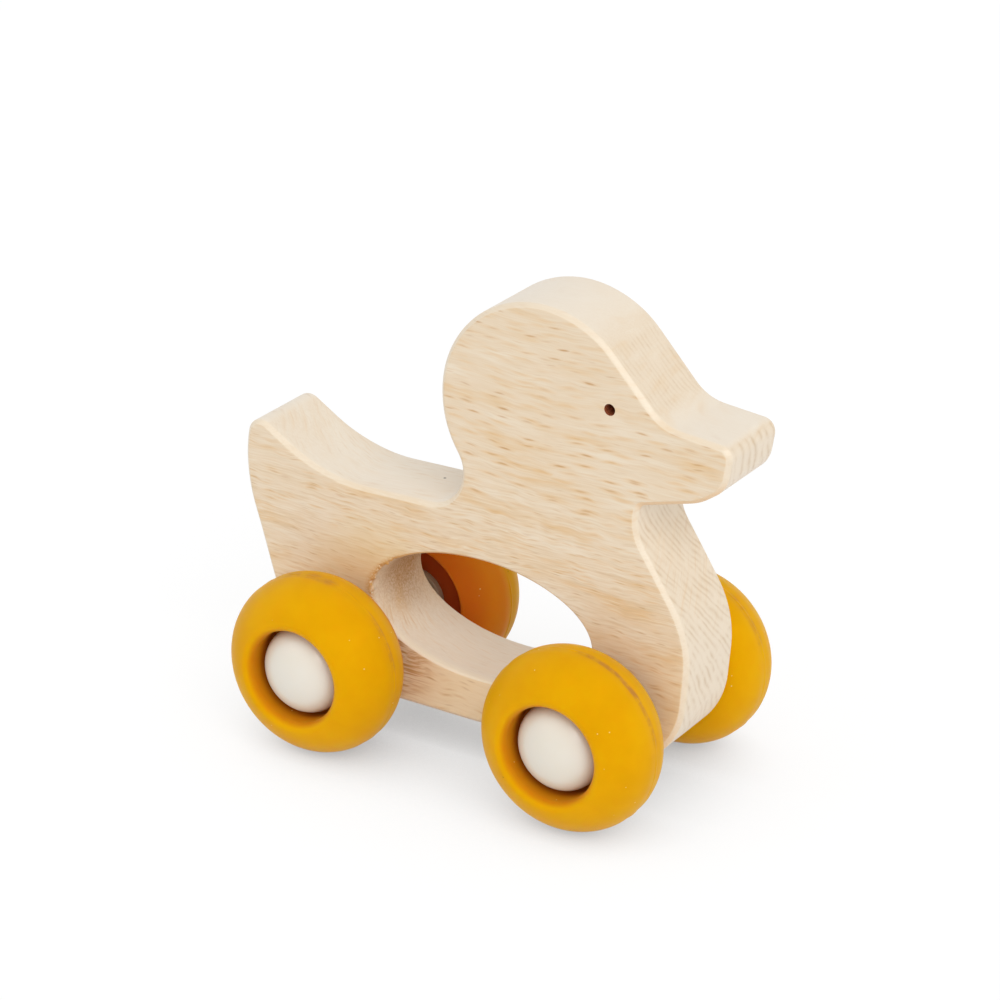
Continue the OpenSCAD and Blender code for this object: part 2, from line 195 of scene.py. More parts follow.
def makeBeech(plank):
    material, tree, shader = startMaterial("beechSanded")
    where, place, axes = startPlaces(tree)
    facing = addNode(tree, "SeparateXYZ", {0: where.outputs["Normal"]})

    # slow waves bend the grain by a millimetre or two
    swing = beech["bendBy"]
    slow = addNode(tree, "VectorMath", {0: place, 1: perCell(beech["slowWave"])}, operation="MULTIPLY")
    wave = addNode(tree, "TexNoise", {"Vector": slow, "Scale": 1.0, "Detail": 1.5})
    bend = addNode(tree, "VectorMath", {0: wave.outputs["Color"], 1: (0.0, swing, swing), 2: place},
                   operation="MULTIPLY_ADD")
    bent = addNode(tree, "SeparateXYZ", {0: bend})

    # wood axes: along the grain, out from the pith, and round it
    pithAcross, pithUp = beech["pith"]
    across = addNode(tree, "Math", {0: bent.outputs[1], 1: pithAcross + swing / 2}, operation="SUBTRACT")
    up = addNode(tree, "Math", {0: bent.outputs[2], 1: pithUp + swing / 2}, operation="SUBTRACT")
    pair = addNode(tree, "CombineXYZ", {0: across, 1: up})
    radius = addNode(tree, "VectorMath", {0: pair}, operation="LENGTH")
    ray = addNode(tree, "VectorMath", {0: pair}, operation="NORMALIZE")
    angle = addNode(tree, "Math", {0: across, 1: up}, operation="ARCTAN2")
    small = addNode(tree, "VectorMath", {0: place, 1: perCell(beech["tiltWave"])}, operation="MULTIPLY")
    tilt = addNode(tree, "TexNoise", {"Vector": small, "Scale": 1.0, "Detail": 1.0})
    turn = addNode(tree, "Math", {0: angle, 1: beech["pithAway"], 2: tilt}, operation="MULTIPLY_ADD")
    wood = addNode(tree, "CombineXYZ", {0: axes.outputs[0], 1: radius, 2: turn})

    # growth rings: a thin dark line at the end of each, uneven and broken, and wider rings on the bill
    bendBelow, bendRate = beech["ringBend"]
    low = addNode(tree, "MapRange", {0: axes.outputs[2], 1: bendBelow, 2: 0.0, 4: bendBelow})
    low = addNode(tree, "Math", {0: low, 1: 2.0}, operation="POWER")
    count = addNode(tree, "Math", {0: low, 1: -bendRate, 2: radius}, operation="MULTIPLY_ADD")
    count = addNode(tree, "Math", {0: count, 1: 1 / beech["ringWidth"]}, operation="MULTIPLY")
    billFrom, billShare = beech["billRings"]
    wider = addNode(tree, "MapRange", {0: axes.outputs[0], (1, 2): (billFrom, billFrom + 0.5),
                                       (3, 4): (1.0, billShare)})
    count = addNode(tree, "Math", {0: count, 1: wider}, operation="MULTIPLY")
    unevenScale, unevenBy = beech["ringUneven"]
    uneven = addNode(tree, "TexNoise", {"W": count, "Scale": unevenScale, "Detail": 1.0},
                     noise_dimensions="1D")
    for shift, by in ((uneven, unevenBy), (tilt, beech["ringTilt"])):
        count = addNode(tree, "Math", {0: shift, 1: by, 2: count}, operation="MULTIPLY_ADD")
    ring = addNode(tree, "Math", {0: count}, operation="FRACT")
    lateWood = addNode(tree, "ValToRGB", {0: ring}, stops=greyStops(beech["lateWood"]))
    broken = addNode(tree, "TexNoise", {"Vector": place, "Scale": 0.30, "Detail": 2.0, "Roughness": 0.6})
    broken = addNode(tree, "MapRange", {0: broken, (1, 2): beech["ringBreak"], 3: 0.05, 4: 1.0})
    ringLine = addNode(tree, "Math", {0: lateWood, 1: broken}, operation="MULTIPLY")

    # ground tone: warm bands, and fine pore lines along the grain
    cells = addNode(tree, "VectorMath", {0: wood, 1: perCell(beech["band"])}, operation="MULTIPLY")
    band = addNode(tree, "TexNoise", {"Vector": cells, "Scale": 1.0, "Detail": 2.5, "Roughness": 0.55})
    tone = addNode(tree, "ValToRGB", {0: band},
                   stops=[(0.30, hexColour(beech["pale"])), (0.46, hexColour(beech["ground"])),
                          (0.54, hexColour(beech["ground"])), (0.70, hexColour(beech["warm"]))])
    cells = addNode(tree, "VectorMath", {0: wood, 1: perCell(beech["poreLine"])}, operation="MULTIPLY")
    pore = addNode(tree, "TexNoise", {"Vector": cells, "Scale": 1.0, "Detail": 2.0})
    height = addNode(tree, "MapRange", {0: axes.outputs[2], (1, 2): beech["headFrom"]})
    streaks = addNode(tree, "MapRange", {0: height, 3: 0.60, 4: 0.25})
    dark = addNode(tree, "MapRange", {0: pore, (1, 2): beech["poreDark"], 3: 0.0, 4: streaks})
    tone = layTint(tree, tone, beech["pore"], dark)
    light = addNode(tree, "MapRange", {0: pore, (1, 2): beech["poreLight"], 3: 0.0, 4: streaks})
    tone = layTint(tree, tone, beech["light"], light)

    # faces that look up or down are painted paler, a painted sheen, and even
    upward = addNode(tree, "Math", {0: facing.outputs[2]}, operation="ABSOLUTE")
    upward = addNode(tree, "MapRange", {0: upward, (1, 2): beech["topFacing"]}, **smooth)
    tone = layTint(tree, tone, beech["top"], upward, beech["topSheenShare"])

    # the faces get a painted warm bounce light towards the belly
    level = addNode(tree, "Math", {0: facing.outputs[1]}, operation="ABSOLUTE")
    bellyFrom = [middle.z + rise for rise in beech["bellyFrom"]]
    belly = addNode(tree, "MapRange", {0: axes.outputs[2], (1, 2): bellyFrom, 4: beech["bellyShare"]})
    onFace = addNode(tree, "MapRange", {0: level, (1, 2): beech["sideFacing"]})
    tone = layTint(tree, tone, beech["belly"], belly, onFace)

    # cut ends are paler and show the rings
    endColours = hexColour(beech["endGround"]), hexColour(beech["endRing"])
    endTone = addNode(tree, "Mix", {0: ringLine, (6, 7): endColours}, data_type="RGBA")
    steep = addNode(tree, "Math", {0: facing.outputs[0]}, operation="ABSOLUTE")
    cutEnd = addNode(tree, "MapRange", {0: steep, (1, 2): beech["endFacing"]}, **smooth)
    ahead = addNode(tree, "Math", {0: axes.outputs[0], 1: middle.x}, operation="SUBTRACT")
    ahead = addNode(tree, "Math", {0: ahead}, operation="ABSOLUTE")
    outside = addNode(tree, "MapRange", {0: ahead, (1, 2): beech["endFrom"]})
    cutEnd = addNode(tree, "Math", {0: cutEnd, 1: outside}, operation="MULTIPLY")
    tone = addNode(tree, "Mix", {0: cutEnd, 6: tone, 7: endTone}, data_type="RGBA")

    # sanded edges are pale and plain; the lower ones get a painted warm bounce light
    onRim = addNode(tree, "ValToRGB", {0: level}, stops=greyStops(beech["sandedEdge"]))
    tone = layTint(tree, tone, beech["rimTone"], onRim, beech["rimShare"])
    under = addNode(tree, "MapRange", {0: facing.outputs[2], (1, 2): beech["underFacing"],
                                       4: beech["underBounceShare"]})
    tone = layTint(tree, tone, beech["underRimBounce"], under, onRim)
    plainRim = addNode(tree, "MapRange", {0: onRim, 3: 1.0, 4: 0.2})

    # rays: brown where a face cuts across them, lost where it runs along them
    sideOn = addNode(tree, "CombineXYZ", {0: facing.outputs[1], 1: facing.outputs[2]})
    sideOn = addNode(tree, "VectorMath", {0: sideOn, 1: ray}, operation="DOT_PRODUCT")
    sideOn = addNode(tree, "Math", {0: sideOn}, operation="ABSOLUTE")
    crossed = addNode(tree, "MapRange", {0: sideOn, (1, 2): beech["rayFacing"], 3: 0.12, 4: 1.0})
    evenTop = addNode(tree, "MapRange", {0: upward, 3: 1.0, 4: 0.35})
    for kind in ("spindle", "dash"):
        size, lowShare, highShare = beech[kind + "Mark"]
        cells = addNode(tree, "VectorMath", {0: wood, 1: perCell(beech[kind])}, operation="MULTIPLY")
        cell = addNode(tree, "TexVoronoi", {"Vector": cells, "Scale": 1.0, "Randomness": 1.0})
        away = cell.outputs["Distance"]
        draw = addNode(tree, "SeparateColor", {0: cell.outputs["Color"]})
        weight = addNode(tree, "MapRange", {0: height, 3: lowShare, 4: highShare})
        stained = addNode(tree, "MapRange", {0: draw.outputs[1], 1: 0.35, 2: 0.92, 3: 0.0, 4: 0.9})
        shown = addNode(tree, "MapRange", {0: draw.outputs[0], 1: 0.15, 2: 0.95, 3: 0.12, 4: 1.0})
        for begins, full, chosen, tint in ((0.62, 0.15, stained, "halo"),
                                           (size, size * 0.15, shown, kind + "Tone")):
            mark = addNode(tree, "MapRange", {0: away, 1: begins, 2: full}, **smooth)
            tone = layTint(tree, tone, beech[tint], mark, chosen, weight, crossed, evenTop, plainRim)

    # torn fibres at the tail end of the grip hole
    far = addNode(tree, "VectorMath", {0: place, 1: onPlank(plank["tornAt"])}, operation="DISTANCE")
    sunned = addNode(tree, "MapRange", {0: far, (1, 2): beech["sunnedReach"], 4: beech["sunnedShare"]},
                     **smooth)
    tone = layTint(tree, tone, beech["sunned"], sunned, onFace)
    near = addNode(tree, "MapRange", {0: far, (1, 2): beech["cloudReach"]}, **smooth)
    wall = addNode(tree, "MapRange", {0: level, (1, 2): beech["wallFacing"]})
    fuzz = addNode(tree, "TexNoise", {"Vector": place, "Scale": 2.4, "Detail": 4.0, "Roughness": 0.75})
    cloud = addNode(tree, "MapRange", {0: fuzz, (1, 2): beech["cloudFuzz"], 3: 0.40, 4: 1.0})
    tone = layTint(tree, tone, beech["cloud"], cloud, near, wall)
    rim = addNode(tree, "MapRange", {0: axes.outputs[1], (1, 2): beech["fringeAcross"]})
    wide = addNode(tree, "MapRange", {0: far, (1, 2): beech["fringeReach"]})
    fringe = addNode(tree, "MapRange", {0: fuzz, (1, 2): beech["fringeFuzz"]})
    (gripX, gripZ), (gripA, gripB) = plank["gripCentre"], plank["gripHalf"]
    oval = addNode(tree, "VectorMath", {0: place, 1: onPlank((gripX, 0, gripZ))}, operation="SUBTRACT")
    oval = addNode(tree, "VectorMath", {0: oval, 1: (1 / gripA, 0, 1 / gripB)}, operation="MULTIPLY")
    oval = addNode(tree, "VectorMath", {0: oval}, operation="LENGTH")
    edge = addNode(tree, "MapRange", {0: oval, 1: 1.07, 2: 1.015})
    tone = layTint(tree, tone, beech["fringe"], fringe, rim, wide, edge)

    # the upper edge of the hole is golden; the lower one is painted pale, a painted highlight
    lowerEdgeHighlight = addNode(tree, "MapRange", {0: facing.outputs[2], (1, 2): beech["lowerEdgeHighlightFacing"],
                                      4: beech["lowerEdgeHighlightShare"]})
    front = addNode(tree, "MapRange", {0: axes.outputs[1], (1, 2): beech["lowerEdgeHighlightAcross"]}, **smooth)
    tone = layTint(tree, tone, beech["lowerEdgeHighlight"], lowerEdgeHighlight, front, edge)
    golden = addNode(tree, "MapRange", {0: facing.outputs[2], (1, 2): beech["goldenFacing"],
                                        4: beech["goldenShare"]})
    tone = layTint(tree, tone, beech["fringe"], golden, rim, edge)

    # a saw-rough patch on the lower rail, and one dark speck on the back
    rough = addNode(tree, "VectorMath", {0: place, 1: onPlank(plank["roughAt"])}, operation="DISTANCE")
    rough = addNode(tree, "MapRange", {0: rough, (1, 2): beech["sawnReach"]}, **smooth)
    grit = addNode(tree, "MapRange", {0: pore, (1, 2): beech["sawnGrit"], 3: 0.05, 4: 0.95})
    tone = layTint(tree, tone, beech["sawn"], rough, grit, onFace)
    dot = addNode(tree, "VectorMath", {0: place, 1: onPlank(plank["speckAt"])}, operation="DISTANCE")
    dot = addNode(tree, "MapRange", {0: dot, (1, 2): beech["speckReach"]})
    tone = layTint(tree, tone, beech["speck"], dot)

    # fibres: a fine relief along the grain, drawn coarser than real fibres so that it shows
    cells = addNode(tree, "VectorMath", {0: bend, 1: perCell(beech["fibre"])}, operation="MULTIPLY")
    fibre = addNode(tree, "TexNoise", {"Vector": cells, "Scale": 1.0, "Detail": 3.0})
    relief = addNode(tree, "Bump", {"Height": fibre, "Strength": 0.25, "Distance": 0.04 * mm})
    satin = [beech["roughness"] + by for by in (-0.05, 0.08)]
    uneven = addNode(tree, "MapRange", {0: fibre, 1: 0.3, 2: 0.7, (3, 4): satin})
    plug(tree, shader, {
        "Base Color": tone, "Normal": relief, "Roughness": uneven, "IOR": beech["ior"],
        "Sheen Weight": beech["velvet"],
    })
    return material


# Beech drilled with a hot, dull bit: the wall of the eye is scorched red-brown and dull
scorched = {"wall": "#B4663C", "deep": "#7A3418", "grit": 0.25, "roughness": 0.8, "ior": 1.47}


def makeScorched():
    material, tree, shader = startMaterial("beechScorched")
    where = addNode(tree, "TexCoord")
    char = addNode(tree, "TexNoise", {"Vector": where.outputs["Object"], "Detail": 3.0,
                                      "Scale": 1 / (scorched["grit"] * mm)})
    tone = addNode(tree, "ValToRGB", {0: char},
                   stops=[(0.35, hexColour(scorched["deep"])), (0.65, hexColour(scorched["wall"]))])
    plug(tree, shader, {"Base Color": tone, "Roughness": scorched["roughness"], "IOR": scorched["ior"]})
    return material


duckPlank = {
    "thickness": 19.0, "edgeRound": 1.1, "bevel": (38, 52), "bevelCorner": 0.45, "edgeSteps": 3,
    "sideSteps": 14, "flatRing": 0.8,
    "spacing": 0.9,              # longest step along the outline
    "handSanding": 0.14,         # share by which the edge round varies
    "sandingWave": 11.0,
    # corners of the outline: along and up from the middle of the axle line, and radius
    "tail": (-55.1, 45.1, 3.3), "hollow": (-36.9, 34.2, 36.0), "nape": (2.1, 35.4, 7.8),
    "headCentre": (13.1, 59.6), "headRadius": 22.5,
    "brow": (40.4, 63.4, 10.0), "billTop": (55.6, 62.1, 2.7), "billTip": (54.3, 53.4, 6.5),
    "chin": (48.7, 49.4, 12.0), "throat": (35.8, 45.8, 1.7), "neck": (34.9, 40.4, 10.0),
    "breast": (48.5, 19.9, 24.0), "keel": (46.2, -10.9, 18.2), "rump": (-43.4, -10.9, 14.0),
    "stern": (-57.3, 32.1, 34.0),
    "gripCentre": (0.5, 12.3), "gripHalf": (25.9, 13.1), "gripEdge": 0.5, "gripSteps": 480,
    # torn fibres: reach from the hole's end and from the face, each with the length over which it fades
    "tornDepth": 0.6, "tornGrain": 1.7, "tornAlong": (8.0, 5.0), "tornEdge": (1.6, 1.4),
    "tornAt": (-24.5, 2.0, 14.0), "roughAt": (-21.0, -9.5, -1.5), "speckAt": (-15.9, 3.0, 34.9),
    "eye": (28.9, 64.3), "eyeRadius": 1.2, "eyeDepth": 3.0, "eyeCone": 0.72,
    "boreRadius": 2.08, "holeSteps": 40,
}


def onPlank(spot):  # a place given from the middle of the axle line
    return middle + Vector(spot)


# the head's circle meets nape and brow in tangents, so two corners with its radius give the same round
def headCorners(plank):
    centre, radius = Vector(plank["headCentre"]), plank["headRadius"]
    angles = []
    for point, side in ((plank["nape"], -1), (plank["brow"], 1)):
        away = Vector(point[:2]) - centre
        angles.append(math.atan2(away.y, away.x) + side * math.acos(radius / away.length))
    sweep = (angles[0] - angles[1]) % (2 * math.pi)
    reach = radius / math.cos(sweep / 4)
    corners = []
    for share in (0.25, 0.75):
        angle = angles[0] - share * sweep
        corners.append((centre.x + reach * math.cos(angle), centre.y + reach * math.sin(angle), radius))
    return corners


# every corner becomes an arc; gives points with their outward normals, clockwise from the right side
def roundedOutline(corners, spacing):
    count = len(corners)
    spot = [Vector(c[:2]) for c in corners]
    ahead = [(spot[(i + 1) % count] - spot[i]) for i in range(count)]
    half = [(-ahead[i - 1]).angle(ahead[i]) / 2 for i in range(count)]
    reach = [corners[i][2] / math.tan(half[i]) for i in range(count)]
    share = [ahead[i].length / (reach[i] + reach[(i + 1) % count]) for i in range(count)]
    line = []
    for i in range(count):
        radius = corners[i][2] * min(1, share[i - 1], share[i])
        before, after = -ahead[i - 1].normalized(), ahead[i].normalized()
        centre = spot[i] + (before + after).normalized() * radius / math.sin(half[i])
        start = spot[i] + before * radius / math.tan(half[i]) - centre
        outward = 1 if ahead[i - 1].cross(ahead[i]) < 0 else -1
        turn = math.pi - 2 * half[i]
        steps = max(3, math.ceil(turn * radius / spacing), math.ceil(math.degrees(turn) / 6))
        first = math.atan2(start.y, start.x)
        for s in range(steps + 1):
            angle = first - outward * turn * s / steps
            way = Vector((math.cos(angle), math.sin(angle)))
            line.append((centre + way * radius, way * outward))
    full = []
    for (p, n), (q, m) in zip(line, line[1:] + line[:1]):  # straights get points too
        steps = max(1, math.ceil((q - p).length / spacing))
        if (q - p).length > 1e-4:
            full += [(p.lerp(q, s / steps), n.lerp(m, s / steps).normalized()) for s in range(steps)]
    return full


def gripOutline(plank):
    (cx, cz), (a, b) = plank["gripCentre"], plank["gripHalf"]
    line = []
    for i in range(plank["gripSteps"]):
        t = 2 * math.pi * i / plank["gripSteps"]
        way = Vector((b * math.cos(t), a * math.sin(t))).normalized()
        line.append((Vector((cx + a * math.cos(t), cz + b * math.sin(t))), -way))
    return line


# a sanded edge is nearly a bevel: tight arcs up to and from a nearly flat middle; as (inset, drop) shares
def bevelShares(plank):
    low, high = plank["bevel"]
    corner = plank["bevelCorner"]
    sines = [math.sin(math.radians(a)) for a in (low, high)]
    flatArc = (1 - corner * (sines[0] + 1 - sines[1])) / (sines[1] - sines[0])
    shares = [(1.0, 0.0)]
    for first, last, radius in ((0, low, corner), (low, high, flatArc), (high, 90, corner)):
        for s in range(plank["edgeSteps"]):
            a, b = [math.radians(first + (last - first) * (s + i) / plank["edgeSteps"]) for i in (0, 1)]
            inset, drop = shares[-1]
            inset -= radius * (math.sin(b) - math.sin(a))
            drop += radius * (math.cos(a) - math.cos(b))
            shares.append((inset, drop))
    return shares


# a band round an outline, from one face over both rounded edges to the other; gives its two end rings
def sweepBand(bm, line, plank, edgeRound, tear):
    half, wave = plank["thickness"] / 2, plank["sandingWave"]
    shares = bevelShares(plank)
    rings = []
    for p, n in line:
        edge = edgeRound * (1 + plank["handSanding"] * noise.noise((p.x / wave, p.y / wave, 3.0)))
        nearEdge = [(edge * inset, -half + edge * drop) for inset, drop in shares]
        flat = half - edge
        side = [(0.0, flat * (2 * s / plank["sideSteps"] - 1)) for s in range(1, plank["sideSteps"])]
        farEdge = [(inset, -y) for inset, y in reversed(nearEdge)]
        ends = [(edge + plank["flatRing"], y) for y in (-half, half)]
        ring = []
        for inset, y in ends[:1] + nearEdge + side + farEdge + ends[1:]:
            spot = Vector((p.x - inset * n.x, y, p.y - inset * n.y))
            if tear:
                spot += tear(spot, n, inset - edge)
            ring.append(bm.verts.new((spot + middle) * mm))
        rings.append(ring)
    for ring, nextRing in zip(rings, rings[1:] + rings[:1]):
        for j in range(len(ring) - 1):
            bm.faces.new((ring[j], ring[j + 1], nextRing[j + 1], nextRing[j]))
    return [ring[0] for ring in rings], [ring[-1] for ring in rings]


def circleOn(bm, spot, radius, y, steps):
    loop = []
    for i in range(steps):
        angle = 2 * math.pi * i / steps
        point = Vector((spot[0] + radius * math.cos(angle), y, spot[1] + radius * math.sin(angle)))
        loop.append(bm.verts.new((point + middle) * mm))
    return loop


def joinLoops(bm, first, second, material=0):
    for i in range(len(first)):
        j = (i + 1) % len(first)
        bm.faces.new((first[i], first[j], second[j], second[i])).material_index = material


def makePlank(plank, materials):
    bm = bmesh.new()
    corners = [plank["tail"], plank["hollow"], plank["nape"], *headCorners(plank)]
    corners += [plank[name] for name in
                ("brow", "billTop", "billTip", "chin", "throat", "neck", "breast", "keel", "rump", "stern")]
    half, steps = plank["thickness"] / 2, plank["holeSteps"]
    gripTail = plank["gripCentre"][0] - plank["gripHalf"][0]
    burnt = 1  # place of the scorched wood among the materials

    def tornEnd(spot, n, inset):  # the saw tears the fibres where it leaves the right face along the grain
        (reach, alongFade), (depth, edgeFade) = plank["tornAlong"], plank["tornEdge"]
        along = max(0.0, min(1.0, (gripTail + reach - spot.x) / alongFade))
        deep = max(0.0, min(1.0, (depth - half - spot.y) / edgeFade))
        if inset > 0 or not along * deep:
            return Vector((0, 0, 0))
        grain = plank["tornGrain"]
        rough = noise.fractal((spot.x / grain, spot.y / (grain * 2), spot.z / grain), 0.6, 2.1, 4)
        return Vector((n.x, 0, n.y)) * plank["tornDepth"] * along * deep * rough

    faces = {-1: [], 1: []}
    for line, edge, tear in ((roundedOutline(corners, plank["spacing"]), plank["edgeRound"], None),
                             (gripOutline(plank), plank["gripEdge"], tornEnd)):
        near, far = sweepBand(bm, line, plank, edge, tear)
        faces[-1].append(near)
        faces[1].append(far)
    for x in (frontAxle.x - middle.x, rearAxle.x - middle.x):
        bore = [circleOn(bm, (x, 0.0), plank["boreRadius"], side * half, steps) for side in (-1, 1)]
        joinLoops(bm, *bore)
        faces[-1].append(bore[0])
        faces[1].append(bore[1])
    for side in (-1, 1):
        rim = circleOn(bm, plank["eye"], plank["eyeRadius"], side * half, steps)
        floor = circleOn(bm, plank["eye"], plank["eyeRadius"], side * (half - plank["eyeDepth"]), steps)
        joinLoops(bm, rim, floor, burnt)
        deepest = side * (half - plank["eyeDepth"] - plank["eyeCone"])
        point = Vector((plank["eye"][0], deepest, plank["eye"][1]))
        tip = bm.verts.new((point + middle) * mm)
        for i in range(steps):
            bm.faces.new((floor[i], floor[(i + 1) % steps], tip)).material_index = burnt
        faces[side].append(rim)
    for side, loops in faces.items():
        edges = []
        for loop in loops:
            for i in range(len(loop)):
                pair = (loop[i - 1], loop[i])
                edges.append(bm.edges.get(pair) or bm.edges.new(pair))
        bmesh.ops.triangle_fill(bm, use_beauty=True, edges=edges, normal=(0, side, 0))
    keepMesh(bm, "duckPlank", materials, "body", "beech", "duck_body")


makePlank(duckPlank, [makeBeech(duckPlank), makeScorched()])
print("duck plank made")

# Silicone, compression moulded, mustard: matte and soft, light sinks in a little and comes out
# orange, with a parting line round the largest circle, traces of flash on it and stuck dust; shade
# towards the plank and in the holes is painted into its colour
silicone = {
    "bright": "#E3A906", "deep": "#DEA205", "stain": "#B8783E", "dust": "#F4DD98", "darkDust": "#6A3E10",
    # the inner, deeper inner, recess, hole-wall and crease tones are painted shade
    "inner": "#E48A26", "innerDeepShade": "#D0641E", "recess": "#B24A20", "holeWallShade": "#CC8010",
    "creaseShade": "#A85418", "sheen": "#F0B030", "cloud": 9.0, "dustCell": 3.0, "dustSize": 0.18,
    "farShadeShift": -4.4,            # the painted shade reaches further out on the far tyres
    "underReach": (6.0, -2.0),   # from the axle towards the middle of the toy
    "roughness": 0.45, "ior": 1.41, "specular": 0.2, "scatter": 0.5, "scatterDepth": (5.0, 1.6, 0.25),
    # smears on the parting line: axle, side, angles from ahead over the top, half width, reach, strength
    "smears": [(frontAxle, -1, (76, 62, 48), 1.0, 5.0, 0.80), (frontAxle, -1, (36, 22), 1.0, 5.0, 0.50),
               (rearAxle, -1, (112, 98, 86), 2.0, 4.5, 0.60), (rearAxle, -1, (38, 20), 1.0, 5.0, 0.35),
               (frontAxle, 1, (48, 30), 1.4, 5.0, 0.40)],
}


def makeSilicone(tyre):
    material, tree, shader = startMaterial("siliconeMustard")
    place, axes = startPlaces(tree)[1:]
    cloud = addNode(tree, "TexNoise", {"Vector": place, "Scale": 1 / silicone["cloud"], "Detail": 3.0})
    skin = addNode(tree, "ValToRGB", {0: cloud},
                   stops=[(0.35, hexColour(silicone["deep"])), (0.62, hexColour(silicone["bright"]))])

    # place on the wheel: outward from the tyre's middle plane, and away from the nearer axle
    across = addNode(tree, "Math", {0: axes.outputs[1]}, operation="ABSOLUTE")
    outward = addNode(tree, "Math", {0: across, 1: tyre["middleAcross"]}, operation="SUBTRACT")
    ahead = addNode(tree, "Math", {0: axes.outputs[0], 1: middle.x}, operation="SUBTRACT")
    ahead = addNode(tree, "Math", {0: ahead}, operation="ABSOLUTE")
    ahead = addNode(tree, "Math", {0: ahead, 1: frontAxle.x - middle.x}, operation="SUBTRACT")
    above = addNode(tree, "Math", {0: axes.outputs[2], 1: middle.z}, operation="SUBTRACT")
    spoke = addNode(tree, "CombineXYZ", {0: ahead, 1: above})
    spoke = addNode(tree, "VectorMath", {0: spoke}, operation="LENGTH")

    # painted shade: where little light gets in, the silicone is painted orange to red, towards the plank
    # and in the hole: tint, its share, and where it begins and is full, outward and, for some, away from
    # the axle
    hole, seat = tyre["holeRadius"], tyre["innerRadius"]
    farSide = addNode(tree, "Math", {0: axes.outputs[1], 1: 0.0}, operation="GREATER_THAN")
    inward = addNode(tree, "Math", {0: farSide, 1: silicone["farShadeShift"], 2: outward},
                     operation="MULTIPLY_ADD")
    rearWheel = addNode(tree, "Math", {0: axes.outputs[0], 1: middle.x}, operation="LESS_THAN")
    for tint, share, outRange, spokeRange in (
            ("inner", 0.9, (-3.5, -6.5), None),
            ("innerDeepShade", 0.68, (-4.0, -9.0), None),
            ("recess", 1.0, (-3.0, -5.0), (seat + 0.4, seat - 0.3)),
            ("holeWallShade", 0.9, (0.5, 2.0), (hole + 1.0, hole + 0.2)),
            ("creaseShade", 0.95, (7.5, 3.5), (hole + 0.6, hole + 0.1))):
        depth = inward if tint == "inner" else outward
        deep = addNode(tree, "MapRange", {0: depth, (1, 2): outRange, 4: share}, **smooth)
        if spokeRange:  # in the recess of the inner half, or in the hole of the outer half
            zone = addNode(tree, "MapRange", {0: spoke, (1, 2): spokeRange})
            half = "LESS_THAN" if tint == "recess" else "GREATER_THAN"
            alone = addNode(tree, "Math", {0: outward, 1: 0.0}, operation=half)
        else:  # under the middle of the toy, on the rear wheels
            zone = addNode(tree, "MapRange", {0: ahead, (1, 2): silicone["underReach"]})
            alone = rearWheel
        skin = layTint(tree, skin, silicone[tint], deep, zone, alone)

    # smears sit along the parting line, which is the middle plane of each tyre
    off = addNode(tree, "Math", {0: outward}, operation="ABSOLUTE")
    patch = addNode(tree, "TexNoise", {"Vector": place, "Scale": 0.6, "Detail": 3.0})
    patch = addNode(tree, "MapRange", {0: patch, 1: 0.35, 2: 0.60, 3: 0.25, 4: 1.0})
    for axle, side, turns, halfWidth, reach, strength in silicone["smears"]:
        onLine = addNode(tree, "MapRange", {0: off, 1: halfWidth, 2: halfWidth * 0.2, 4: strength},
                         **smooth)
        stained = None
        for turn in turns:
            angle = math.radians(turn)
            way = Vector((math.cos(angle), 0, math.sin(angle))) * tyre["outerRadius"]
            spot = axle + way + Vector((0, side * tyre["middleAcross"], 0))
            away = addNode(tree, "VectorMath", {0: place, 1: spot}, operation="DISTANCE")
            close = addNode(tree, "MapRange", {0: away, 1: reach, 2: reach * 0.3}, **smooth)
            if stained:
                close = addNode(tree, "Math", {0: close, 1: stained}, operation="MAXIMUM")
            stained = close
        skin = layTint(tree, skin, silicone["stain"], stained, onLine, patch)

    # dust: one speck in some of the cells, pale or dark
    cell = addNode(tree, "TexVoronoi", {"Vector": place, "Scale": 1 / silicone["dustCell"]})
    draw = addNode(tree, "SeparateColor", {0: cell.outputs["Color"]})
    size = silicone["dustSize"] / silicone["dustCell"]
    speck = addNode(tree, "MapRange", {0: cell.outputs["Distance"], 1: size, 2: 0.4 * size})
    for low, high, tint in ((0.25, 0.80, "dust"), (0.95, 1.0, "darkDust")):  # shares of the cells
        over = addNode(tree, "Math", {0: draw.outputs[0], 1: low}, operation="GREATER_THAN")
        under = addNode(tree, "Math", {0: draw.outputs[0], 1: high}, operation="LESS_THAN")
        skin = layTint(tree, skin, silicone[tint], over, under, speck)
    grain = addNode(tree, "TexNoise", {"Vector": place, "Scale": 4.0, "Detail": 2.0})
    relief = addNode(tree, "Bump", {"Height": grain, "Strength": 0.15, "Distance": 0.03 * mm})
    plug(tree, shader, {
        "Base Color": skin, "Normal": relief, "Roughness": silicone["roughness"],
        "IOR": silicone["ior"], "Specular IOR Level": silicone["specular"],
        "Specular Tint": hexColour(silicone["sheen"]), "Subsurface Weight": silicone["scatter"],
        "Subsurface Radius": silicone["scatterDepth"], "Subsurface Scale": mm,
    })
    return material


# ABS, injection moulded, ivory: smooth and softly glossy, the tyre's colour shows in it; the hub's
# flange is painted darker, a painted shade
ivoryAbs = {"body": "#E6E1D6", "shade": "#E4DDCF", "flangeShade": "#9C8870", "flangeShadeShare": 0.85, "cloud": 14.0,
            "ripple": 2.4, "roughness": 0.24, "ior": 1.53, "scatter": 0.06, "scatterDepth": (1.2, 0.9, 0.5)}


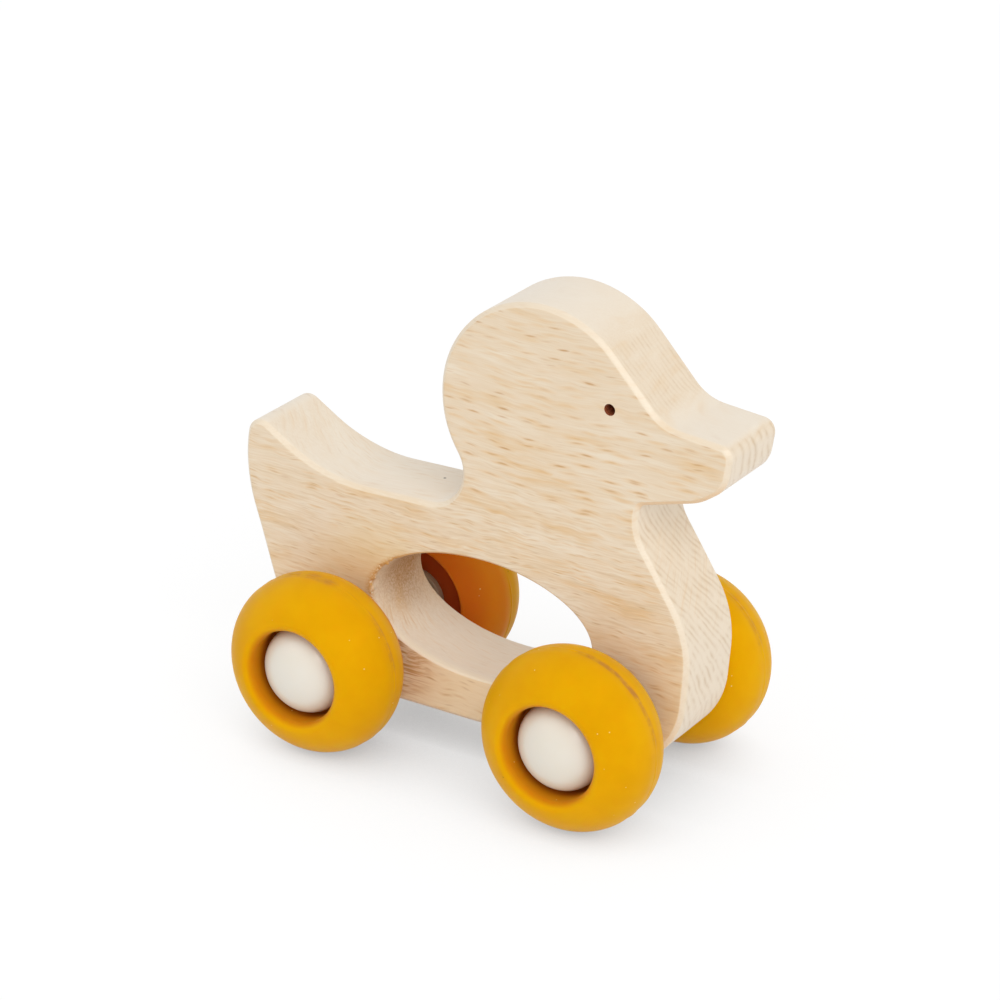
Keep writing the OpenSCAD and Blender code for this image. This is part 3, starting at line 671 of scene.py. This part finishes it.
def makeAbs(tyre):
    material, tree, shader = startMaterial("absIvory")
    place, axes = startPlaces(tree)[1:]
    cloud = addNode(tree, "TexNoise", {"Vector": place, "Scale": 1 / ivoryAbs["cloud"], "Detail": 2.0})
    tone = addNode(tree, "ValToRGB", {0: cloud},
                   stops=[(0.35, hexColour(ivoryAbs["shade"])), (0.65, hexColour(ivoryAbs["body"]))])
    # painted shade: the hub's flange, between the tyre and the plank, is painted darker
    across = addNode(tree, "Math", {0: axes.outputs[1]}, operation="ABSOLUTE")
    seat = tyre["middleAcross"] + tyre["flangeSeat"]
    flange = addNode(tree, "MapRange", {0: across, 1: seat + 1.5, 2: seat, 4: ivoryAbs["flangeShadeShare"]})
    tone = layTint(tree, tone, ivoryAbs["flangeShade"], flange)
    ripple = addNode(tree, "TexNoise", {"Vector": place, "Scale": 1 / ivoryAbs["ripple"], "Detail": 1.0})
    relief = addNode(tree, "Bump", {"Height": ripple, "Strength": 0.1, "Distance": 0.05 * mm})
    plug(tree, shader, {
        "Base Color": tone, "Normal": relief, "Roughness": ivoryAbs["roughness"],
        "IOR": ivoryAbs["ior"], "Subsurface Weight": ivoryAbs["scatter"],
        "Subsurface Radius": ivoryAbs["scatterDepth"], "Subsurface Scale": mm,
    })
    return material


# Nylon, turned from rod, ivory: satin, with the fine rings that the tool leaves
nylon = {"body": "#DDD5C2", "groove": "#CFC6B1", "roughness": 0.5, "ior": 1.53,
         "toolStep": 0.25, "perUnit": 20}  # radians that the wave texture turns in one unit


def makeNylon():
    material, tree, shader = startMaterial("nylonTurned")
    where = addNode(tree, "TexCoord")
    scale = 1 / (nylon["toolStep"] * mm) / nylon["perUnit"]
    rings = addNode(tree, "TexWave", {"Vector": where.outputs["Object"], "Scale": scale,
                                      "Distortion": 0.4, "Detail": 1.0}, bands_direction="Y")
    tone = addNode(tree, "ValToRGB", {0: rings},
                   stops=[(0.2, hexColour(nylon["groove"])), (0.8, hexColour(nylon["body"]))])
    relief = addNode(tree, "Bump", {"Height": rings, "Strength": 0.2, "Distance": 0.02 * mm})
    plug(tree, shader, {"Base Color": tone, "Normal": relief, "Roughness": nylon["roughness"],
                        "IOR": nylon["ior"]})
    return material


# Mild steel, cold drawn and bright: metallic, with long fine draw marks
steel = {"bright": "#C9CACC", "mark": "#A9ABAE", "markSize": (0.25, 12.0, 0.25), "roughness": 0.3}


def makeSteel():
    material, tree, shader = startMaterial("steelDrawn")
    where = addNode(tree, "TexCoord")
    drawn = perCell([size * mm for size in steel["markSize"]])
    marks = addNode(tree, "VectorMath", {0: where.outputs["Object"], 1: drawn}, operation="MULTIPLY")
    marks = addNode(tree, "TexNoise", {"Vector": marks, "Scale": 1.0, "Detail": 3.0})
    tone = addNode(tree, "ValToRGB", {0: marks},
                   stops=[(0.35, hexColour(steel["mark"])), (0.6, hexColour(steel["bright"]))])
    satin = [steel["roughness"] + by for by in (-0.08, 0.12)]
    rough = addNode(tree, "MapRange", {0: marks, (3, 4): satin})
    plug(tree, shader, {"Base Color": tone, "Roughness": rough, "Metallic": 1.0})
    return material


def arcPoints(centre, radius, first, last, step):
    steps = max(2, math.ceil(abs(last - first) / step))
    angles = [math.radians(first + (last - first) * i / steps) for i in range(steps + 1)]
    return [(centre[0] + radius * math.cos(a), centre[1] + radius * math.sin(a)) for a in angles]


# turns a closed profile of (radius, outward) round a wheel's axle; change moves single points
def turnProfile(profile, wheelMiddle, outward, segments, change):
    bm = bmesh.new()
    rings = []
    for s in range(segments):
        angle = 2 * math.pi * s / segments
        ring = []
        for radius, along in profile:
            if change:
                radius, along = change(radius, along, angle)
            spot = Vector((radius * math.cos(angle), outward * along, radius * math.sin(angle)))
            ring.append((wheelMiddle + spot) * mm)
        rings.append(ring)
    onAxis = [radius < 1e-6 for radius, along in profile]
    shared = [bm.verts.new(rings[0][j]) if onAxis[j] else None for j in range(len(profile))]
    verts = [[shared[j] or bm.verts.new(ring[j]) for j in range(len(profile))] for ring in rings]
    for ring, nextRing in zip(verts, verts[1:] + verts[:1]):
        for j in range(len(profile)):
            k = (j + 1) % len(profile)
            corners = list(dict.fromkeys((ring[j], ring[k], nextRing[k], nextRing[j])))
            if len(corners) > 2:
                bm.faces.new(corners)
    return bm


ringTyre = {
    "middleAcross": 22.25, "outerRadius": 19.0, "sectionRadius": 10.0, "holeRadius": 9.9, "lipRound": 1.6,
    "capSeat": 2.8, "flangeSeat": -6.9, "boreRadius": 5.02, "innerRadius": 11.9, "innerLip": 0.5,
    "seatRound": 0.6, "segments": 288,
    # the parting bead, its half span in degrees, and how often it swells round the wheel
    "beadHeight": 0.13, "beadWidth": 0.22, "beadFade": 1.5, "beadSpan": 5, "beadWave": 9,
}
domedCap = {"radius": 9.2, "skirt": 1.0, "dome": 6.35, "domeSteps": 40, "footRound": 0.35,
            "socketRadius": 5.02, "socketTop": 6.8, "segments": 128}
wheelHub = {"boreRadius": 2.02, "sleeveRadius": 5.0, "sleeveEnd": 6.4, "flangeRadius": 6.5, "flange": 1.0,
            "rimWidth": 0.8, "rimHeight": 0.4, "rimRound": 0.2, "ridgeRadius": 5.1, "ridgeWidth": 0.3,
            "ridgeHeight": 0.22, "ridgeSlope": 0.1, "segments": 128}
axleSpacer = {"radius": 4.5, "boreRadius": 2.02, "length": 4.55, "chamfer": 0.3, "segments": 96}


def tyreProfile(tyre):
    section = tyre["outerRadius"] - tyre["sectionRadius"]
    lipOut = tyre["holeRadius"] + tyre["lipRound"]
    lipReach = tyre["sectionRadius"] - tyre["lipRound"]
    lip = (lipOut, math.sqrt(lipReach ** 2 - (lipOut - section) ** 2))
    innerOut = tyre["innerRadius"] + tyre["innerLip"]
    innerReach = tyre["sectionRadius"] - tyre["innerLip"]
    inner = (innerOut, -math.sqrt(innerReach ** 2 - (innerOut - section) ** 2))
    lipAngle = math.degrees(math.atan2(lip[1], lip[0] - section))
    innerAngle = math.degrees(math.atan2(inner[1], inner[0] - section))
    crown, foot, span = (section, 0.0), tyre["seatRound"], tyre["beadSpan"]
    profile = [(tyre["boreRadius"], tyre["flangeSeat"]), (tyre["boreRadius"], tyre["capSeat"])]
    profile += arcPoints((tyre["holeRadius"] - foot, tyre["capSeat"] + foot), foot, -90, 0, 15)
    profile += arcPoints(lip, tyre["lipRound"], 180, lipAngle, 6)
    for first, last, step in ((lipAngle, span, 3), (span, -span, 0.5), (-span, innerAngle, 3)):
        profile += arcPoints(crown, tyre["sectionRadius"], first, last, step)[1:]
    profile += arcPoints(inner, tyre["innerLip"], innerAngle, -180, 12)[1:]
    return profile + [(tyre["innerRadius"], tyre["flangeSeat"])]


def capProfile(cap, seat):
    base = seat + cap["skirt"]
    foot, socket, top = cap["footRound"], cap["socketRadius"], cap["socketTop"]
    profile = [(0.0, top), (socket, top), (socket, seat)]
    profile += arcPoints((cap["radius"] - foot, seat + foot), foot, -90, 0, 30)
    for i in range(cap["domeSteps"]):
        angle = math.pi / 2 * i / cap["domeSteps"]
        profile.append((cap["radius"] * math.cos(angle), base + cap["dome"] * math.sin(angle)))
    return profile + [(0.0, base + cap["dome"])]


def hubProfile(hub, seat):
    face = seat - hub["flange"]
    rimIn = hub["flangeRadius"] - hub["rimWidth"]
    ridge, half = hub["ridgeRadius"], hub["ridgeWidth"] / 2
    crest, slope = face - hub["ridgeHeight"], hub["ridgeSlope"]
    profile = [(hub["boreRadius"], hub["sleeveEnd"]), (hub["boreRadius"], face)]
    profile += [(ridge - half - slope, face), (ridge - half, crest)]
    profile += [(ridge + half, crest), (ridge + half + slope, face), (rimIn, face)]
    turn, sleeve = hub["rimRound"], hub["sleeveRadius"]
    top = face - hub["rimHeight"] + turn
    profile += arcPoints((rimIn + turn, top), turn, -180, -90, 30)
    profile += arcPoints((hub["flangeRadius"] - turn, top), turn, -90, 0, 30)
    return profile + [(hub["flangeRadius"], seat), (sleeve, seat), (sleeve, hub["sleeveEnd"])]


def spacerProfile(spacer, top):
    low, c = top - spacer["length"], spacer["chamfer"]
    return [(spacer["boreRadius"], top), (spacer["boreRadius"], low), (spacer["radius"] - c, low),
            (spacer["radius"], low + c), (spacer["radius"], top - c), (spacer["radius"] - c, top)]


siliconeMustard = makeSilicone(ringTyre)
absIvory = makeAbs(ringTyre)
nylonTurned = makeNylon()
steelDrawn = makeSteel()
for end, axle in (("front", frontAxle), ("rear", rearAxle)):
    body = end + "_wheels"
    rod = frame["nodes"][end + "_axle"]
    rod.data.materials.clear()
    rod.data.materials.append(steelDrawn)
    for side, outward in (("left", 1), ("right", -1)):
        spot = Vector((axle.x, outward * ringTyre["middleAcross"], axle.z))
        label = end + "_" + side
        seed = 10 * outward + axle.x

        def partingBead(radius, along, angle):  # a thin ridge of flash, uneven round the wheel
            if radius < ringTyre["outerRadius"] - 0.1:
                return radius, along
            wave = ringTyre["beadWave"]
            uneven = noise.noise((math.cos(angle) * wave, math.sin(angle) * wave, seed))
            uneven = min(1.0, 0.6 + 0.8 * uneven)
            bead = uneven * math.exp(-(along / ringTyre["beadWidth"]) ** 2)
            bead -= math.exp(-(along / ringTyre["beadFade"]) ** 2)
            return radius + ringTyre["beadHeight"] * bead, along

        flangeFace = ringTyre["flangeSeat"] - wheelHub["flange"]
        for name, node, slot, material, settings, profile, change in (
                ("RingTyre", "tyre", "silicone", siliconeMustard, ringTyre,
                 tyreProfile(ringTyre), partingBead),
                ("DomedCap", "hub_cap", "abs", absIvory, domedCap,
                 capProfile(domedCap, ringTyre["capSeat"]), None),
                ("WheelHub", "hub", "abs", absIvory, wheelHub,
                 hubProfile(wheelHub, ringTyre["flangeSeat"]), None),
                ("AxleSpacer", "spacer", "nylon", nylonTurned, axleSpacer,
                 spacerProfile(axleSpacer, flangeFace), None)):
            bm = turnProfile(profile, spot, outward, settings["segments"], change)
            keepMesh(bm, label + name, [material], body, slot, label + "_" + node)
print("wheels made")

# studio: white paper floor whose shadow is partly real and partly painted, large soft lights; lengths
# in metres, and a light's level is the share of a colour that it gives back from a face turned to it
studio = {"floorSize": 16.0, "paper": "#F4F4F4", "seenPaper": "#707070", "lift": 0.862, "sky": 0.64,
          "shadowReach": 0.10,
          "shade": [(0.0, 0.40), (0.12, 0.57), (0.30, 0.75), (0.50, 0.89), (0.66, 0.98), (0.85, 1.0)],
          "key": {"azimuth": 48, "elevation": 38, "away": 12.0, "size": 7.2, "level": 0.39},
          "fill": {"azimuth": -35, "elevation": 30, "away": 12.0, "size": 7.2, "level": 0.08},
          "top": {"azimuth": 0, "elevation": 88, "away": 12.0, "size": 11.0, "level": 0.04},
          "front": {"azimuth": 88, "elevation": 16, "away": 12.0, "size": 6.4, "level": 0.05}}


def seenDirectly(tree):  # 1 for rays from the camera, straight, mirrored or let through
    path = addNode(tree, "LightPath")
    seen = path.outputs["Is Camera Ray"]
    for kind in ("Glossy", "Transmission"):
        ray = path.outputs["Is " + kind + " Ray"]
        seen = addNode(tree, "Math", {0: seen, 1: ray}, operation="MAXIMUM")
    return seen


def makePaper():
    material, tree, shader = startMaterial("paperWhite")
    tree.nodes.remove(shader)
    plain = addNode(tree, "BsdfDiffuse", {"Color": hexColour(studio["paper"])})
    matte = addNode(tree, "BsdfDiffuse", {"Color": hexColour(studio["seenPaper"])})
    # painted shadow: ambient occlusion darkens the paper's even glow near the toy
    shade = addNode(tree, "AmbientOcclusion", {"Distance": studio["shadowReach"]})
    shade = addNode(tree, "ValToRGB", {0: shade.outputs["AO"]}, stops=greyStops(studio["shade"]))
    glow = addNode(tree, "Emission", {"Color": shade, "Strength": studio["lift"]})
    both = addNode(tree, "AddShader", {0: matte, 1: glow})
    paper = addNode(tree, "MixShader", {0: seenDirectly(tree), 1: plain, 2: both})
    plug(tree, tree.nodes["Material Output"], {"Surface": paper})
    return material


def makeFloor():
    reach = studio["floorSize"] / 2
    mesh = bpy.data.meshes.new("paperFloor")
    corners = [(-reach, -reach, 0), (reach, -reach, 0), (reach, reach, 0), (-reach, reach, 0)]
    mesh.from_pydata(corners, [], [(0, 1, 2, 3)])
    mesh.materials.append(makePaper())
    floor = bpy.data.objects.new("paperFloor", mesh)
    scene.collection.objects.link(floor)


def aim(azimuth, elevation):  # unit vector from the toy, azimuth 0 is the duck's right side, 90 its front
    a, e = math.radians(azimuth), math.radians(elevation)
    return Vector((math.sin(a) * math.cos(e), -math.cos(a) * math.cos(e), math.sin(e)))


makeFloor()
centre = (Vector(cadBox[0]) + Vector(cadBox[1])) / 2
for name in ("key", "fill", "top", "front"):
    lamp = studio[name]
    data = bpy.data.lights.new(name + "Softbox", "AREA")
    data.size = lamp["size"]
    data.energy = lamp["level"] * (math.pi * lamp["away"]) ** 2
    light = bpy.data.objects.new(name + "Softbox", data)
    way = aim(lamp["azimuth"], lamp["elevation"])
    light.location = centre + way * lamp["away"]
    light.rotation_mode = "QUATERNION"
    light.rotation_quaternion = (-way).to_track_quat("-Z", "Y")
    scene.collection.objects.link(light)

world = bpy.data.worlds.new("studioSky")
world.use_nodes = True
skyTree = world.node_tree
skyLevel = addNode(skyTree, "MapRange", {0: seenDirectly(skyTree), 3: studio["sky"], 4: 1.0})
plug(skyTree, skyTree.nodes["Background"], {"Strength": skyLevel, "Color": grey(1.0)})
scene.world = world

# camera from the outlines of the four wheels: angles in degrees, lengths in millimetres, and the
# target from the middle of the axle line
view = {"azimuth": 31.367, "elevation": 23.756, "roll": 1.06, "away": 717.04, "focal": 129.45,
        "target": (-0.926, 0.0, 34.772), "sensor": 36.0}
cameraData = bpy.data.cameras.new("photoCamera")
cameraData.lens = view["focal"]
cameraData.sensor_width = view["sensor"]
camera = bpy.data.objects.new("photoCamera", cameraData)
back = aim(view["azimuth"], view["elevation"])
turn = math.radians(view["azimuth"])
right = Vector((math.cos(turn), math.sin(turn), 0))
upright = back.cross(right)
roll = math.radians(view["roll"])
rightward = right * math.cos(roll) + upright * math.sin(roll)
upward = upright * math.cos(roll) - right * math.sin(roll)
turned = Matrix((rightward, upward, back)).transposed()
stand = (middle + Vector(view["target"]) + back * view["away"]) * mm
camera.matrix_world = Matrix.Translation(stand) @ turned.to_4x4()
scene.collection.objects.link(camera)
scene.camera = camera
scene.view_settings.view_transform = "Standard"
print("studio and camera ready")
